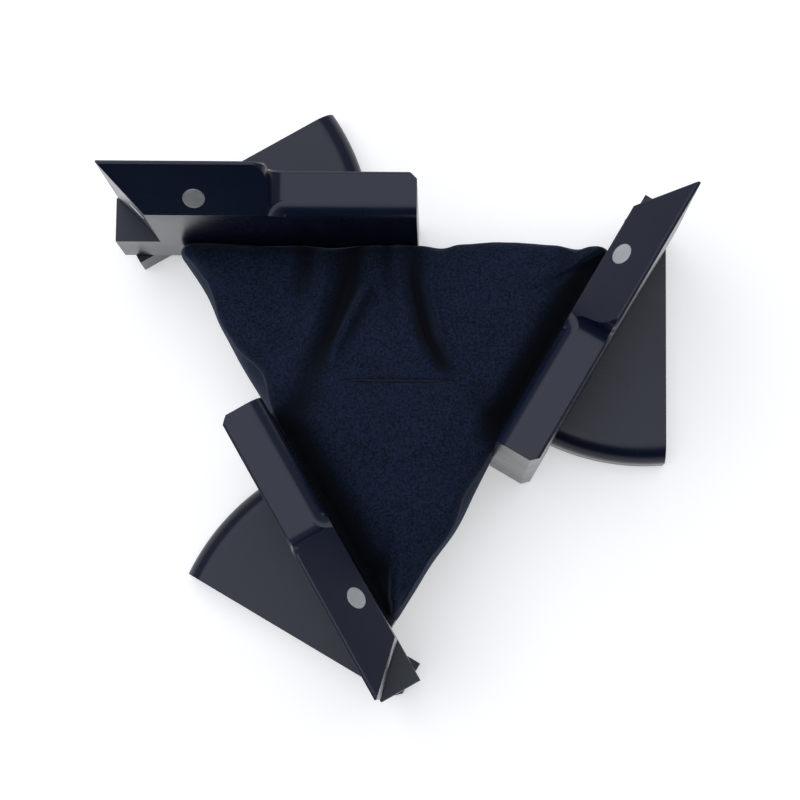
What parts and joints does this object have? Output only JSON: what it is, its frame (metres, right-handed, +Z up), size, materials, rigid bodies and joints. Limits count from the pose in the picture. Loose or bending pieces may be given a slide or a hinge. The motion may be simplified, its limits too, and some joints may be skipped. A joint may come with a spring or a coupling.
{
  "type": "rotating ring box",
  "caption": "Ring box of hinged upright arms and flat leaves in a closed ring round a padded cushion, unfolded to a flat triangle and folding up to a mitred cube.",
  "frame": {"origin": "middle of the open box's plan, on the table", "axes": "+Z up from the table; +X along the rear arm from its hub to its foot; +Y towards the rear arm's outside"},
  "size_m": [0.1088, 0.1164, 0.0565],
  "materials": {
    "plates": "satin",
    "pins": "satin",
    "washers": "matte",
    "discs": "satin",
    "cushion": "matte"
  },
  "bodies": {
    "arm_1": {"arm_1": "plates", "upright_pin_1": "pins", "level_pin_1": "pins", "upright_washer_1": "washers", "level_washer_1": "washers", "magnet_1": "discs", "keeper_1": "discs", "cushion_panel_1": "cushion"},
    "arm_2": {"arm_2": "plates", "upright_pin_2": "pins", "level_pin_2": "pins", "upright_washer_2": "washers", "magnet_2": "discs", "keeper_2": "discs", "cushion_panel_2": "cushion"},
    "arm_3": {"arm_3": "plates", "upright_pin_3": "pins", "level_pin_3": "pins", "upright_washer_3": "washers", "level_washer_3": "washers", "magnet_3": "discs", "keeper_3": "discs", "cushion_panel_3": "cushion"},
    "leaf_1": {"leaf_1": "plates"},
    "leaf_2": {"leaf_2": "plates"},
    "leaf_3": {"leaf_3": "plates"}
  },
  "joints": [
    {"name": "fold", "type": "hinge", "parent": "arm_1", "child": "leaf_2", "pos_m": [-0.0006, 0.03273, 0.004], "axis": [0, -1, 0], "range_deg": [0, 90], "deforming": ["cushion_panel_1", "cushion_panel_2", "cushion_panel_3"]},
    {"name": "turn_2", "type": "hinge", "parent": "leaf_2", "child": "arm_2", "pos_m": [0.0484, 0.03273, 0.004], "axis": [0, 0, 1], "range_deg": [0, 30]},
    {"name": "turn_1", "type": "hinge", "parent": "arm_1", "child": "leaf_1", "pos_m": [-0.0496, 0.03273, 0.004], "axis": [0, 0, -1], "range_deg": [0, 30]},
    {"name": "fold_3", "type": "hinge", "parent": "leaf_1", "child": "arm_3", "pos_m": [-0.0251, -0.00971, 0.004], "axis": [-0.866, -0.5, 0], "range_deg": [0, 90]},
    {"name": "turn_3", "type": "hinge", "parent": "arm_3", "child": "leaf_3", "pos_m": [-0.0006, -0.05214, 0.004], "axis": [0, 0, -1], "range_deg": [0, 30]}
  ],
  "couplings": [
    {"joint": "turn_2", "follows": "fold", "ratio": 0.33333},
    {"joint": "turn_1", "follows": "fold", "ratio": 0.33333},
    {"joint": "fold_3", "follows": "fold", "ratio": 1},
    {"joint": "turn_3", "follows": "fold", "ratio": 0.33333}
  ]
}
